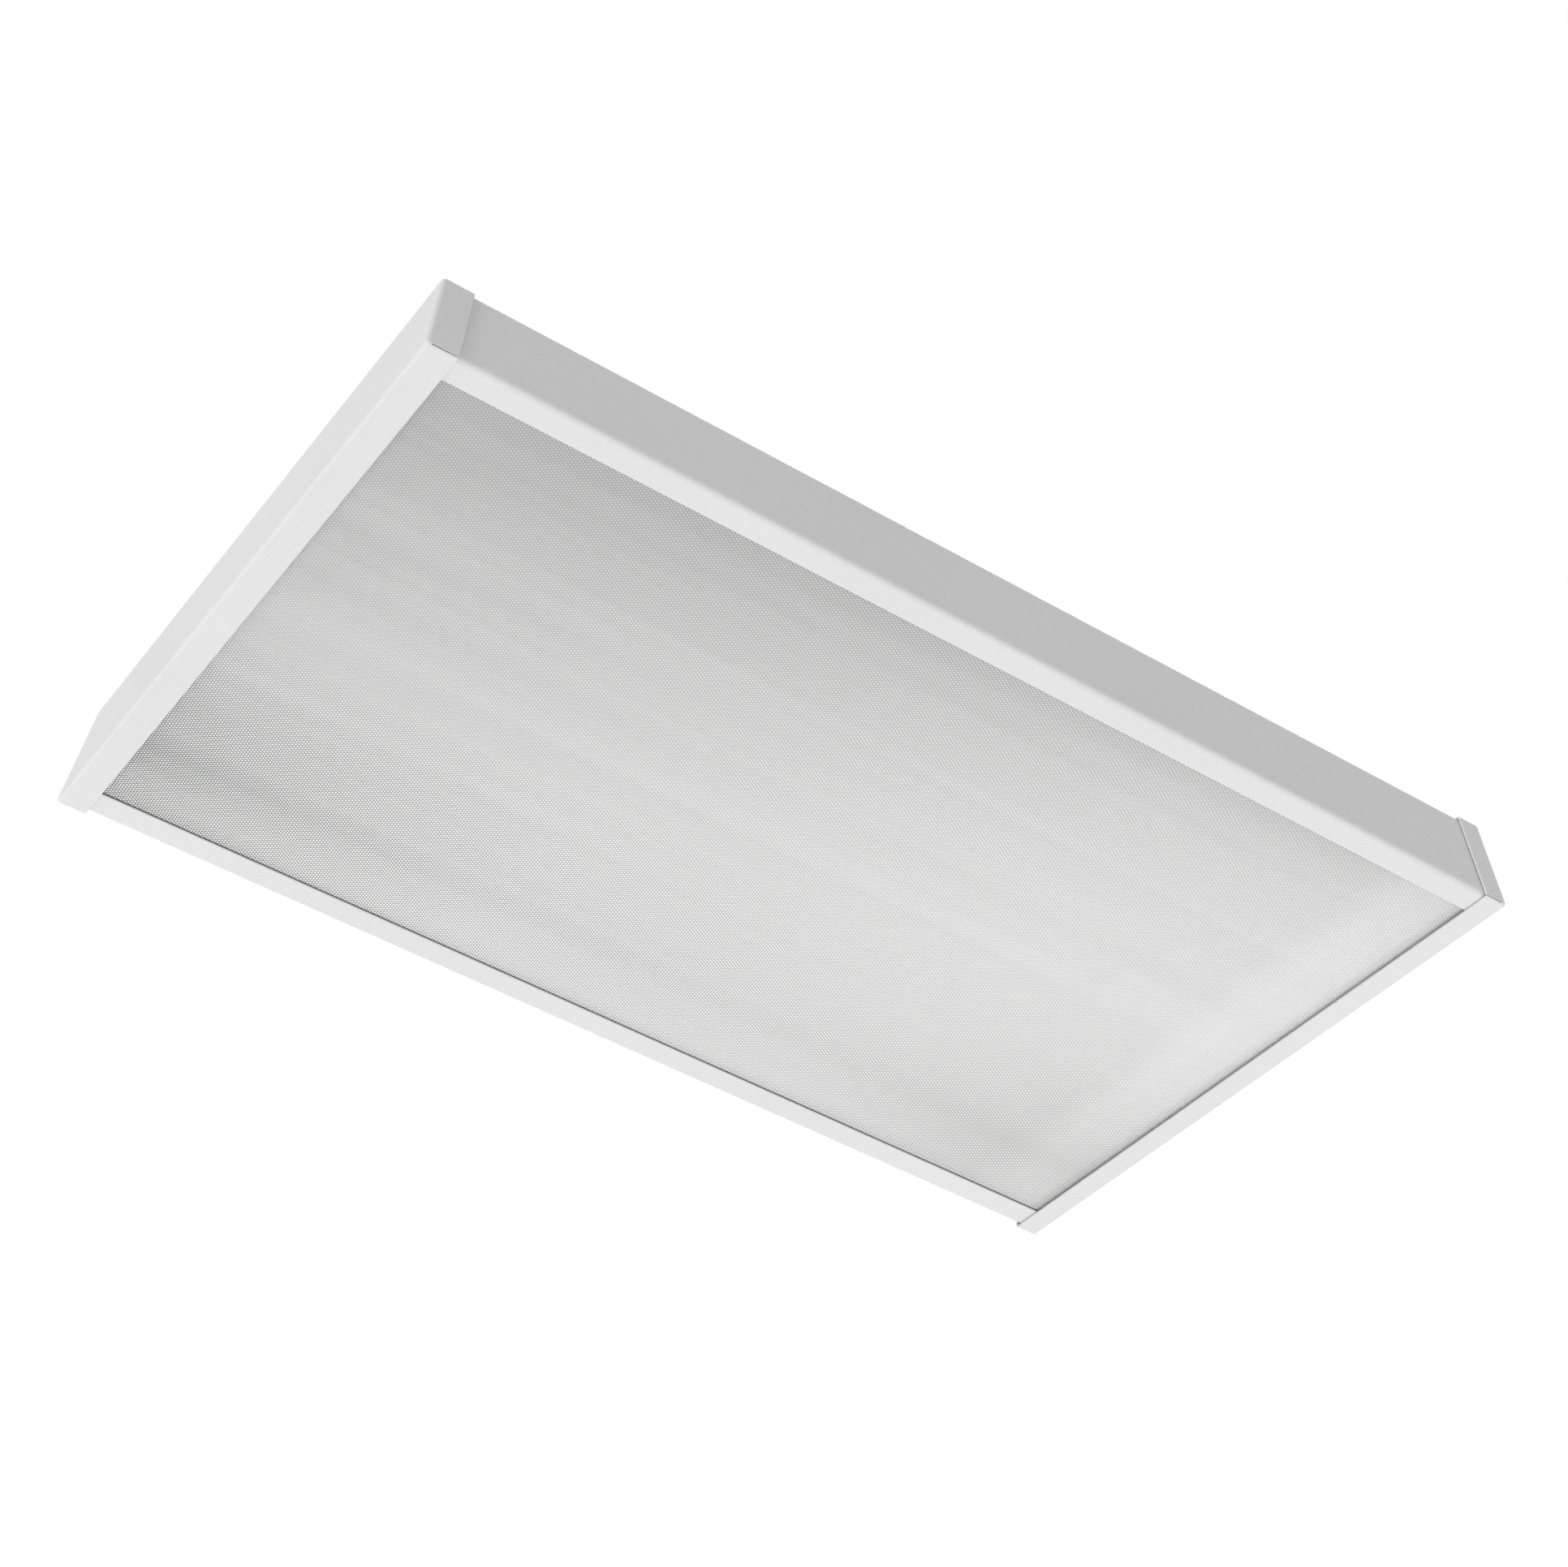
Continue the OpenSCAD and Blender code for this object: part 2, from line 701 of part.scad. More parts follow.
// Ground lead, from the block's last pole into the crimp of its ring terminal
crimp_l = 6;
crimp_lap = 0.5;
module ground_lead() {
    last_pole_y = pole_y(terminal_poles - 1);
    crimp_y = ground_y - ring_r;
    crimp_z = tray_top_z + lead_r;
    color([0.16, 0.50, 0.25]) {
        tube(softened([
            [terminal_w / 2, last_pole_y, lead_enter_z],
            [ground_x, last_pole_y, lead_enter_z],
            [ground_x, crimp_y - crimp_l, crimp_z],
            [ground_x, crimp_y + crimp_lap, crimp_z]
        ], lead_bend), lead_r, lead_fn);
        difference() {
            translate([ground_x, ground_y, tray_top_z])
                cylinder(h = ring_t, r = ring_r, $fn = round_fn);
            translate([ground_x, ground_y, tray_top_z - cut])
                cylinder(h = ring_t + 2 * cut, r = screw_r + screw_clear, $fn = round_fn);
        }
    }
}

// Leads of the lamp side run in pairs: down through a grommet, along under the tray and into the boards
lamp_lead_z = board_z - connector_t / 2;
exit_z = tray_top_z + driver_h * 0.45;
lead_half_gap = lead_d * 0.8;
pair_y = connector_w / 4;
function near_board_y(end) = end * board_pitch / 2;
function far_board_y(end) = near_board_y(end) + end * board_pitch;

function feed_route(end, pole) =
    let (
        x = end * (grommet_x + pole * lead_half_gap),
        y = pole * lead_half_gap,
        board_lead_y = near_board_y(end) - end * (pair_y - pole * lead_half_gap)
    )
    softened([
        [end * (driver_start + driver_l), y, exit_z],
        [x, y, exit_z],
        [x, y, lamp_lead_z],
        [x, board_lead_y, lamp_lead_z],
        [end * board_half_l, board_lead_y, lamp_lead_z]
    ], lead_bend);

function link_route(end, pole) =
    let (
        x = end * (grommet_x - pole * lead_half_gap),
        near_y = near_board_y(end) + end * (pair_y + pole * lead_half_gap),
        far_y = far_board_y(end) - end * pole * lead_half_gap
    )
    softened([
        [end * board_half_l, near_y, lamp_lead_z],
        [x, near_y, lamp_lead_z],
        [x, far_y, lamp_lead_z],
        [end * board_half_l, far_y, lamp_lead_z]
    ], lead_bend);

module lamp_leads(pole, shade) {
    color(shade)
    for (end = [-1, 1]) {
        tube(feed_route(end, pole), lead_r, lead_fn, [0, 1, 0]);
        tube(link_route(end, pole), lead_r, lead_fn, [0, 0, 1]);
    }
}

module positive_leads() {
    lamp_leads(1, [0.72, 0.12, 0.10]);
}

module negative_leads() {
    lamp_leads(-1, [0.12, 0.16, 0.42]);
}

// Wiring cover over the right grommet, with a notch for the leads to the boards
cover_flange = 8;
cover_grommet_gap = 4;
cover_notch = 2 * (lead_half_gap + lead_d);
cover_to_x = grommet_x + grommet_lip_r + cover_grommet_gap;
cover_from_x = cover_to_x - cover_l;
cover_half_w = board_pitch / 2 - board_w / 2 - cover_gap;
cover_z = lens_top_z + cover_lens_gap;
cover_screw_xs = [cover_from_x - cover_flange / 2, cover_to_x + cover_flange / 2];
module wiring_cover() {
    notch_z = lamp_lead_z - lead_d;
    color(white_paint)
    difference() {
        union() {
            translate([cover_from_x, -cover_half_w, cover_z])
                cube([cover_l, 2 * cover_half_w, tray_z - cover_z]);
            translate([cover_from_x - cover_flange, -cover_half_w, tray_z - sheet_t])
                cube([cover_l + 2 * cover_flange, 2 * cover_half_w, sheet_t]);
        }
        translate([cover_from_x + sheet_t, -cover_half_w + sheet_t, cover_z + sheet_t])
            cube([cover_l - 2 * sheet_t, 2 * (cover_half_w - sheet_t), tray_z - cover_z]);
        translate([grommet_x - cover_notch / 2, cover_half_w - sheet_t - cut, notch_z])
            cube([cover_notch, sheet_t + 2 * cut, tray_z + cut - notch_z]);
        for (x = cover_screw_xs)
            translate([x, 0, tray_z - sheet_t - cut])
                cylinder(h = sheet_t + 2 * cut, r = small_screw_r + screw_clear, $fn = round_fn);
    }
}

// Screws of the cover, which end flush above the tray
module cover_screws() {
    color(zinc)
    for (x = cover_screw_xs)
        translate([x, 0, tray_z - sheet_t])
            ceiling_screw(2 * sheet_t, small_screw_r, small_head_r, small_head_h);
}

// Reflector ribs: hat-shaped strips, open towards the tray, beside each lamp board
rib_t = 0.6;
rib_end_gap = 1;
rib_foot = rib_crest / 2 + rib_lean;
rib_half_w = rib_foot + rib_flange;
rib_z = lens_top_z + rib_lens_gap;
outer_rib_y = tray_w / 2 - rib_half_w - rib_end_gap / 2;
inner_rib_ys = [for (i = [1:board_count - 1]) board_y(i) - board_pitch / 2];
module rib(from_x, to_x, y) {
    crest = rib_crest / 2;
    translate([(from_x + to_x) / 2, y, 0])
        along_x(to_x - from_x)
            polygon([
                [-rib_half_w, tray_z],
                [-rib_half_w, tray_z - rib_t],
                [-rib_foot, tray_z - rib_t],
                [-crest, rib_z],
                [crest, rib_z],
                [rib_foot, tray_z - rib_t],
                [rib_half_w, tray_z - rib_t],
                [rib_half_w, tray_z],
                [rib_foot - rib_t, tray_z],
                [crest - rib_t, rib_z + rib_t],
                [-crest + rib_t, rib_z + rib_t],
                [-rib_foot + rib_t, tray_z]
            ]);
}

function rib_to_x(y) =
    abs(y) < cover_half_w ? cover_from_x - cover_flange - rib_end_gap : board_half_l;
module reflector_ribs() {
    color(white_paint)
    for (y = concat([-outer_rib_y], inner_rib_ys, [outer_rib_y]))
        rib(-board_half_l, rib_to_x(y), y);
}

// Adhesive clips that hold the linking leads up under the tray
clip_wall = 1;
clip_w = 8;
clip_play = 0.3;
clip_shares = [0.4, 0.7];
module lead_clips() {
    inner_w = 2 * (lead_half_gap + lead_r + clip_play);
    inner_h = tray_z - lamp_lead_z + lead_r + clip_play;
    color([0.90, 0.90, 0.88])
    for (end = [-1, 1])
        for (share = clip_shares)
            translate([end * grommet_x, near_board_y(end) + end * share * board_pitch, tray_z])
                difference() {
                    translate([-inner_w / 2 - clip_wall, -clip_w / 2, -inner_h - clip_wall])
                        cube([inner_w + 2 * clip_wall, clip_w, inner_h + clip_wall]);
                    translate([-inner_w / 2, -clip_w, -inner_h])
                        cube([inner_w, 2 * clip_w, inner_h - clip_wall]);
                }
}

// Access plate over the opening in the top, with the conduit hole
access_gap = 0.2;
access_screw_x = access_l / 2 + access_lap / 2;
access_z = roof_z + access_gap;
module access_plate() {
    color(white_paint)
    difference() {
        translate([-access_l / 2 - access_lap, -access_w / 2 - access_lap, access_z])
            cube([access_l + 2 * access_lap, access_w + 2 * access_lap, sheet_t]);
        translate([0, 0, access_z - cut])
            cylinder(h = sheet_t + 2 * cut, r = conduit_r, $fn = round_fn);
        for (end = [-1, 1])
            translate([end * access_screw_x, 0, access_z - cut])
                cylinder(h = sheet_t + 2 * cut, r = screw_r + screw_clear, $fn = round_fn);
    }
}

module access_screws() {
    color(zinc)
    for (end = [-1, 1])
        translate([end * access_screw_x, 0, access_z + sheet_t])
            screw(sheet_t + access_gap + sheet_t + 2 * screw_tail);
}

// Hanger bracket: a strap with an ear at each end, in which a bail turns
ear_r = 5;
bail_gap = 0.3;
pin_clear = 0.08;
bail_r = bail_d / 2;
pivot_z = roof_z + hanger_t + bail_gap + bail_r;
strap_w = 24;
hanger_screw_y = hanger_span / 4;
module hanger_bracket(end) {
    ear_y = hanger_span / 2;
    color(zinc)
    translate([end * hanger_x, 0, 0])
    difference() {
        union() {
            translate([-strap_w / 2, -ear_y, roof_z])
                cube([strap_w, 2 * ear_y, hanger_t]);
            for (side = [-1, 1])
                translate([0, side > 0 ? ear_y : -ear_y - hanger_t, 0]) {
                    translate([-ear_r, 0, roof_z])
                        cube([2 * ear_r, hanger_t, pivot_z - roof_z]);
                    translate([0, hanger_t, pivot_z])
                        rotate([90, 0, 0])
                            cylinder(h = hanger_t, r = ear_r, $fn = round_fn);
                }
        }
        translate([-strap_w, -ear_y - 2 * hanger_t, roof_z - ear_r])
            cube([2 * strap_w, 2 * ear_y + 4 * hanger_t, ear_r]);
        translate([0, ear_y + hanger_t + cut, pivot_z])
            rotate([90, 0, 0])
                cylinder(h = 2 * (ear_y + hanger_t + cut), r = bail_r + pin_clear, $fn = round_fn);
        for (side = [-1, 1])
            translate([0, side * hanger_screw_y, roof_z - cut])
                cylinder(h = hanger_t + 2 * cut, r = screw_r + screw_clear, $fn = round_fn);
    }
}

module hanger_screws() {
    color(zinc)
    for (end = [-1, 1])
        for (side = [-1, 1])
            translate([end * hanger_x, side * hanger_screw_y, roof_z + hanger_t])
                screw(hanger_t + sheet_t + 2 * screw_tail, screw_r, screw_head_r, bail_gap + screw_head_h);
}

// Hanger bail: a wire from ear to ear, bent to a narrow crown for a hook or chain
bail_crown = 22;
bail_neck = 6;
bail_end = 3;
bail_bend = 9;
bail_slim = 0.99;
module hanger_bail(end) {
    ear_y = hanger_span / 2;
    leg_y = ear_y - bail_neck;
    pin_from = ear_y - bail_neck / 2;
    pin_to = ear_y + hanger_t + bail_end;
    lap_y = ear_y - cut;
    color(zinc)
    translate([end * hanger_x, 0, pivot_z])
    mirror([end > 0 ? 1 : 0, 0, 0]) {
        tube(softened([
            [0, lap_y, 0],
            [0, leg_y, 0],
            [bail_reach, bail_crown / 2, 0],
            [bail_reach, -bail_crown / 2, 0],
            [0, -leg_y, 0],
            [0, -lap_y, 0]
        ], bail_bend), bail_r * bail_slim, wire_fn);
        for (side = [-1, 1])
            translate([0, side * (pin_from + pin_to) / 2, 0])
                rotate([90, 0, 0])
                    cylinder(h = pin_to - pin_from, r = bail_r, center = true, $fn = round_fn);
    }
}

housing();
left_end_cap();
right_end_cap();
left_cap_screws();
right_cap_screws();
right_cap_nuts();
lens();
front_gasket();
rear_gasket();
lamp_tray();
tray_screws();
reflector_ribs();
wiring_cover();
cover_screws();
lamp_board(0);  // lamp_board_1
lamp_board(1);  // lamp_board_2
lamp_board(2);  // lamp_board_3
lamp_board(3);  // lamp_board_4
lamps(0);  // lamps_1
lamps(1);  // lamps_2
lamps(2);  // lamps_3
lamps(3);  // lamps_4
board_screws();
board_connectors();
driver_base(-1);  // left_driver_base
driver_case(-1);  // left_driver_case
driver_base(1);  // right_driver_base
driver_case(1);  // right_driver_case
driver_screws();
terminal_block();
ground_screw();
grommets();
lead_clips();
line_leads();
neutral_leads();
ground_lead();
positive_leads();
negative_leads();
access_plate();
access_screws();
hanger_bracket(-1);  // left_hanger_bracket
hanger_bracket(1);  // right_hanger_bracket
hanger_screws();
hanger_bail(-1);  // left_hanger_bail
hanger_bail(1);  // right_hanger_bail
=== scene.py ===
import json
import math

import bmesh
import bpy
from mathutils import Euler, Matrix, Vector


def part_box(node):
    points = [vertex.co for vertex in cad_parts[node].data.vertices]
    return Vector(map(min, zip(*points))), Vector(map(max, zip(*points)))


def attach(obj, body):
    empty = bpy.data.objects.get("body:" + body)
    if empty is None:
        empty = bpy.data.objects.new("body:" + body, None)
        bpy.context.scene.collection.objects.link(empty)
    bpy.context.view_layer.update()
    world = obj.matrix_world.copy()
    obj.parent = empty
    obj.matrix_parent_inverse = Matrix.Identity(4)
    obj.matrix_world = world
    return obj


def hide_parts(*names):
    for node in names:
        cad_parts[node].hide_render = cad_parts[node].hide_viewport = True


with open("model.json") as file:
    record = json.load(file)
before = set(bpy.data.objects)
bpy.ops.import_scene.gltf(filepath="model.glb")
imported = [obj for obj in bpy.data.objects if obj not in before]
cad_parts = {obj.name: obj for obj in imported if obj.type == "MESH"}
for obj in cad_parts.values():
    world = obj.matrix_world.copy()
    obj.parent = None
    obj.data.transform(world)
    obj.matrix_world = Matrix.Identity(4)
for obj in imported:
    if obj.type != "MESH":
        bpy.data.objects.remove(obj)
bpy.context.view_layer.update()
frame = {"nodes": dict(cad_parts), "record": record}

# The CAD model's pieces, by node name
NODES = frame["nodes"]

# Camera: the photograph's width and the focal length in pixels, where it stood, and its turn in degrees
PHOTO_W = 1932
FOCAL_PX = 4170.8
SENSOR_MM = 36.0
CAMERA_AT = (-0.63985, -1.14425, -1.05523)
CAMERA_TURN = (130.201, -4.756, -33.261)
CLIP_START = 0.05
CLIP_END = 50.0

# Light: strengths are what a white surface that faces the lamp shows, on a scale where 1 is white
WORLD_LIGHT = 0.44
SEEN_WHITE = 1.0
# Each lamp's direction from the object, its strength and its spread in degrees
LAMPS = {
    "lamp_below": (Vector((0.00, 0.00, -1.00)), 0.295, 50),
    "lamp_left": (Vector((-0.98, -0.20, 0.02)), 0.34, 20),
    "lamp_above": (Vector((0.25, 0.45, 0.86)), 0.50, 30),
}

# Floor: its height and half its side in metres, and the glow that shows it as white outside a shadow
FLOOR_Z = -2.5
FLOOR_HALF = 15.0
FLOOR_GLOW = 0.27

# Half the width of the band round 0.5 in which nearly all of a noise's values lie
NOISE_BAND = 0.2
NARROW_BAND = 0.15

# Lens prisms: their pitch along and across the light and their height in metres, and the turn of their rows
PRISM_ROW = 0.00270
PRISM_STEP = 0.00199
PRISM_DEPTH = 0.00006
PRISM_TURN = math.radians(4.5)
# The share of light that the lens stops, how far the prisms change it, and its lowest value
LENS_COVER = 0.66
COVER_SWING = 0.6
LEAST_COVER = 0.2

# Places on the lens are shares of its size: u runs from its left end to its right end, v from front to rear.
# Painted light: the lens is painted brightest along one line. For the line's left and right ends: its place
# over v, the tone on it, which reaches its right value at BRIGHT_FULL_U, and how fast the painted light
# falls beside it
BRIGHT_PLACE = (0.84, 0.37)
BRIGHT_TONE = (0.78, 0.89)
BRIGHT_FULL_U = 0.7
BRIGHT_FALL = (0.35, 1.03)
# Painted light in strips by the rear and right edges, with a thin line of painted shade by the right flange:
# where each starts, where it is full, and what it then adds to the tone
REAR_PAINTED_LIGHT = (0.85, 0.93, 0.15)
RIGHT_PAINTED_LIGHT = (0.90, 0.94, 0.10)
FLANGE_PAINTED_SHADE = (0.975, 0.976, -0.06)
FLANGE_PAINTED_LIGHT = (0.9785, 0.983, 0.17)
# Painted light by the rear rail: the tone rises with the square of the way across the strip
RAIL_STRIP = (0.9555, 0.9625)
RAIL_PAINTED_LIGHT = 0.5
# Painted shade in the rear left corner, which is darker by this much where it is fullest
CORNER_SHADE = -0.32
CORNER_TO_U = 0.35
CORNER_V = (0.55, 0.85)
# Painted shade and light in streaks along the lens, which stand in for the shaded ribs behind it: the
# noise's stretch, detail and strength
RIB_SHADE_STREAKS = (((0.8, 34.0, 1.0), 3.0, 0.040), ((1.5, 140.0, 1.0), 2.0, 0.025))
RIB_SHADE_FADE = (1.0, 0.4)
# How strongly the prisms show, painted by how light falls on them: in the middle and at both ends, and added
# to it in the rear left part
CONTRAST_MIDDLE = 0.36
CONTRAST_ENDS = 0.24
CONTRAST_REACH = 0.45
REAR_CONTRAST_V = (0.55, 0.80)
REAR_CONTRAST_TO_U = 0.6
REAR_CONTRAST = (1.0, 0.2)

# Edges of the plain CAD pieces and of the pieces made here: widths in metres, segments, and the least angle
NODE_EDGES = {
    "terminal_block": 0.0006,
    "left_driver_case": 0.0010,
    "right_driver_case": 0.0010,
    "left_driver_base": 0.0002,
    "right_driver_base": 0.0002,
    "board_connectors": 0.0005,
    "wiring_cover": 0.0006,
    "access_plate": 0.0003,
    "left_hanger_bracket": 0.0003,
    "right_hanger_bracket": 0.0003,
    "reflector_ribs": 0.0003,
    "lens": 0.0002,
}
NODE_EDGE_SEGMENTS = 2
PACKAGE_EDGE = 0.00012
WINDOW_EDGE = 0.00005
RESISTOR_EDGE = 0.00010
CLAMP_EDGE = 0.00012
PIECE_EDGE_SEGMENTS = 1
EDGE_ANGLE = math.radians(40)

# Lamp boards in metres: the lamps' pitch, their windows, resistors, solder pads and tracks
BOARDS = 4
LAMP_PITCH = 0.018
WINDOW_RIM = 0.00045
WINDOW_DEPTH = 0.00020
WINDOW_SINK = 0.00006
WINDOW_PLAY = 0.00003
LAMP_PAD_L = 0.0009
LAMP_PAD_W = 0.0022
LAMP_PAD_T = 0.00008
RESISTOR_EVERY = 3
RESISTOR_OFF = 0.0030
RESISTOR_L = 0.0032
RESISTOR_W = 0.0016
RESISTOR_T = 0.0006
RESISTOR_PAD_L = 0.0006
RESISTOR_PAD_T = 0.00016
TRACK_OFFSETS = (-0.0090, -0.0070)
TRACK_W = 0.0008
TRACK_T = 0.00006

# Clamping screws of the terminal block in metres, and the share of the block's height below their pockets
POLES = 3
CLAMP_R = 0.0020
CLAMP_BASE_H = 0.00108
SLOT_DEPTH = 0.00072
SLOT_W = 0.0005
CLAMP_SINK = 0.0001
POCKET_FLOOR = 0.6
DISC_SIDES = 24


class Shader:
    """A node material round one Principled shader, with a short way to add nodes."""

    # Sockets of the Mix node in its colour form
    MIX_SHARE, MIX_FIRST, MIX_SECOND, MIX_RESULT = 0, 6, 7, 2

    def __init__(self, name, **sockets):
        self.material = bpy.data.materials.new(name)
        self.material.use_nodes = True
        self.tree = self.material.node_tree
        self.tree.nodes.clear()
        output = self.tree.nodes.new("ShaderNodeOutputMaterial")
        self.principled = self.tree.nodes.new("ShaderNodeBsdfPrincipled")
        self.tree.links.new(self.principled.outputs[0], output.inputs["Surface"])
        for socket, value in sockets.items():
            self.set(self.principled, socket.replace("_", " "), value)
        self.place = self.tree.nodes.new("ShaderNodeTexCoord").outputs["Object"]

    def set(self, node, socket, value):
        """Links a socket to another one, or gives it a number, a vector or a colour without its alpha."""
        target = node.inputs[socket]
        if isinstance(value, bpy.types.NodeSocket):
            self.tree.links.new(value, target)
        elif hasattr(target.default_value, "__len__") and len(target.default_value) == 4:
            target.default_value = (*value, 1.0)
        else:
            target.default_value = value

    def add(self, kind, inputs=(), **settings):
        node = self.tree.nodes.new(kind)
        for key, value in settings.items():
            setattr(node, key, value)
        for socket, value in dict(inputs).items():
            self.set(node, socket, value)
        return node

    def maths(self, operation, first, second=0.0):
        return self.add("ShaderNodeMath", {0: first, 1: second}, operation=operation).outputs[0]

    def chain(self, operation, values):
        result = values[0]
        for value in values[1:]:
            result = self.maths(operation, result, value)
        return result

    def total(self, *values):
        return self.chain("ADD", values)

    def product(self, *values):
        return self.chain("MULTIPLY", values)

    def noise(self, scale, detail=2.0, roughness=0.5, place=None):
        node = self.add(
            "ShaderNodeTexNoise",
            {"Vector": place or self.place, "Scale": scale, "Detail": detail, "Roughness": roughness},
        )
        return node.outputs["Fac"]

    def stretched(self, scale):
        return self.add("ShaderNodeMapping", {"Vector": self.place, "Scale": scale}).outputs["Vector"]

    def spread(self, value, low, high, to_low, to_high):
        """Moves a value from one range to another, and stops at the ends of the new one."""
        node = self.add(
            "ShaderNodeMapRange",
            {"Value": value, "From Min": low, "From Max": high, "To Min": to_low, "To Max": to_high},
        )
        return node.outputs["Result"]

    def strip(self, place, start, full, added):
        """Nothing up to a place, then a rise to what is added."""
        return self.spread(place, start, full, 0.0, added)

    def varied(self, noise, to_low, to_high, band=NOISE_BAND):
        """A noise that runs over the whole of a new range."""
        return self.spread(noise, 0.5 - band, 0.5 + band, to_low, to_high)

    def mixed(self, share, first, second):
        node = self.add("ShaderNodeMix", data_type="RGBA")
        self.set(node, self.MIX_SHARE, share)
        self.set(node, self.MIX_FIRST, first)
        self.set(node, self.MIX_SECOND, second)
        return node.outputs[self.MIX_RESULT]

    def colour(self, value):
        self.set(self.principled, "Base Color", value)

    def roughness(self, value):
        self.set(self.principled, "Roughness", value)

    def bump(self, height, distance, strength):
        """Adds relief on top of what relief there is."""
        normal = self.principled.inputs["Normal"]
        before = normal.links[0].from_socket if normal.links else None
        node = self.add("ShaderNodeBump", {"Height": height, "Distance": distance, "Strength": strength})
        if before:
            self.tree.links.new(before, node.inputs["Normal"])
        self.tree.links.new(node.outputs[0], normal)


def grey(value):
    return (value, value, value)


def powder_coat():
    """Satin white powder coat: a faint orange peel and a fine grain."""
    s = Shader("white_powder_coat", Specular_IOR_Level=0.4)
    clouds = s.noise(scale=9.0, detail=3.0)
    grain = s.noise(scale=750.0, detail=4.0, roughness=0.7)
    peel = s.noise(scale=420.0)
    base = s.mixed(s.varied(clouds, 0.0, 1.0, NARROW_BAND), grey(0.785), grey(0.805))
    s.colour(s.mixed(s.varied(grain, 0.0, 0.32, NARROW_BAND), base, grey(0.64)))
    s.roughness(s.varied(grain, 0.42, 0.55))
    s.bump(peel, distance=0.00012, strength=0.5)
    s.bump(grain, distance=0.00009, strength=0.6)
    return s.material


def prism_pattern(s):
    """Height of the prisms over the lens, from -0.5 between them to 1 on their tops, 0 on average."""
    turned = s.add("ShaderNodeMapping", {"Vector": s.place, "Rotation": (0.0, 0.0, PRISM_TURN)})
    split = s.add("ShaderNodeSeparateXYZ", {0: turned.outputs["Vector"]})
    along = s.product(split.outputs["X"], 2 * math.pi / PRISM_ROW)
    across = s.product(split.outputs["Y"], 2 * math.pi / PRISM_STEP)
    dots = s.product(s.maths("COSINE", along), s.maths("COSINE", across), 2.0)
    rows = s.maths("COSINE", s.product(along, 2.0))
    return s.maths("DIVIDE", s.total(dots, rows), 3.0)


def painted_lens_light(s, u, v):
    """Painted light and shade on the lens over its length and width, without the prisms."""
    # A painted band of light along the lens, which falls off to both sides
    off_line = s.maths("SUBTRACT", v, s.spread(u, 0.0, 1.0, *BRIGHT_PLACE))
    fall = s.product(off_line, off_line, s.spread(u, 0.0, 1.0, *BRIGHT_FALL))
    # Painted shade and light in streaks, standing in for the shaded ribs behind the lens
    rib_shade = s.total(*(
        s.varied(s.noise(scale=1.0, detail=detail, place=s.stretched(stretch)), -strength, strength)
        for stretch, detail, strength in RIB_SHADE_STREAKS
    ))
    # Painted light by the rear rail, against the shade next to its lip
    by_rail = s.spread(v, *RAIL_STRIP, 0.0, 1.0)
    # Painted shade in the rear left corner of the lens
    in_corner = s.product(s.spread(u, 0.0, CORNER_TO_U, 1.0, 0.0), s.spread(v, *CORNER_V, 0.0, 1.0))
    return s.total(
        s.maths("SUBTRACT", s.spread(u, 0.0, BRIGHT_FULL_U, *BRIGHT_TONE), fall),
        s.product(rib_shade, s.spread(u, 0.0, 1.0, *RIB_SHADE_FADE)),
        # Painted light by the rear and right edges, and a line of painted shade by the right flange
        s.strip(v, *REAR_PAINTED_LIGHT),
        s.strip(u, *RIGHT_PAINTED_LIGHT),
        s.strip(u, *FLANGE_PAINTED_SHADE),
        s.strip(u, *FLANGE_PAINTED_LIGHT),
        s.product(by_rail, by_rail, RAIL_PAINTED_LIGHT),
        s.product(in_corner, CORNER_SHADE),
    )


def prism_contrast(s, u, v):
    """How strongly the prisms show, painted light: most of all where light falls across them, in the rear
    left part.
    """
    off_middle = s.maths("ABSOLUTE", s.maths("SUBTRACT", u, 0.5))
    overall = s.spread(off_middle, 0.0, CONTRAST_REACH, CONTRAST_MIDDLE, CONTRAST_ENDS)
    rear = s.spread(v, *REAR_CONTRAST_V, 0.0, 1.0)
    return s.total(overall, s.product(rear, s.spread(u, 0.0, REAR_CONTRAST_TO_U, *REAR_CONTRAST)))


def prismatic_acrylic():
    """The lens: clear acrylic whose fine prisms scatter light, so what lies behind shows only faintly."""
    s = Shader("prismatic_acrylic", Roughness=0.30, IOR=1.49)
    low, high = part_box("lens")
    split = s.add("ShaderNodeSeparateXYZ", {0: s.place})
    u = s.spread(split.outputs["X"], low[0], high[0], 0.0, 1.0)
    v = s.spread(split.outputs["Y"], low[1], high[1], 0.0, 1.0)
    pattern = prism_pattern(s)
    relief = s.product(pattern, prism_contrast(s, u, v))
    # The lens colour is its painted light and shade times the prisms, no more than white
    shade = s.maths("MINIMUM", s.product(painted_lens_light(s, u, v), s.total(relief, 1.0)), 1.0)
    s.colour(s.add("ShaderNodeCombineColor", {0: shade, 1: shade, 2: shade}).outputs[0])
    cover = s.maths("MAXIMUM", s.total(s.product(relief, COVER_SWING), LENS_COVER), LEAST_COVER)
    s.set(s.principled, "Alpha", s.maths("MINIMUM", cover, 1.0))
    s.bump(pattern, distance=PRISM_DEPTH, strength=0.6)
    return s.material


def plated_steel():
    """Bright zinc plate with a faint spangle."""
    s = Shader("zinc_plate", Metallic=1.0)
    spangle = s.varied(s.noise(scale=60.0, detail=3.0), 0.0, 1.0)
    s.colour(s.mixed(spangle, (0.60, 0.61, 0.63), (0.74, 0.75, 0.76)))
    s.roughness(s.varied(s.noise(scale=220.0), 0.26, 0.42))
    s.bump(s.noise(scale=900.0), distance=0.00003, strength=0.5)
    return s.material


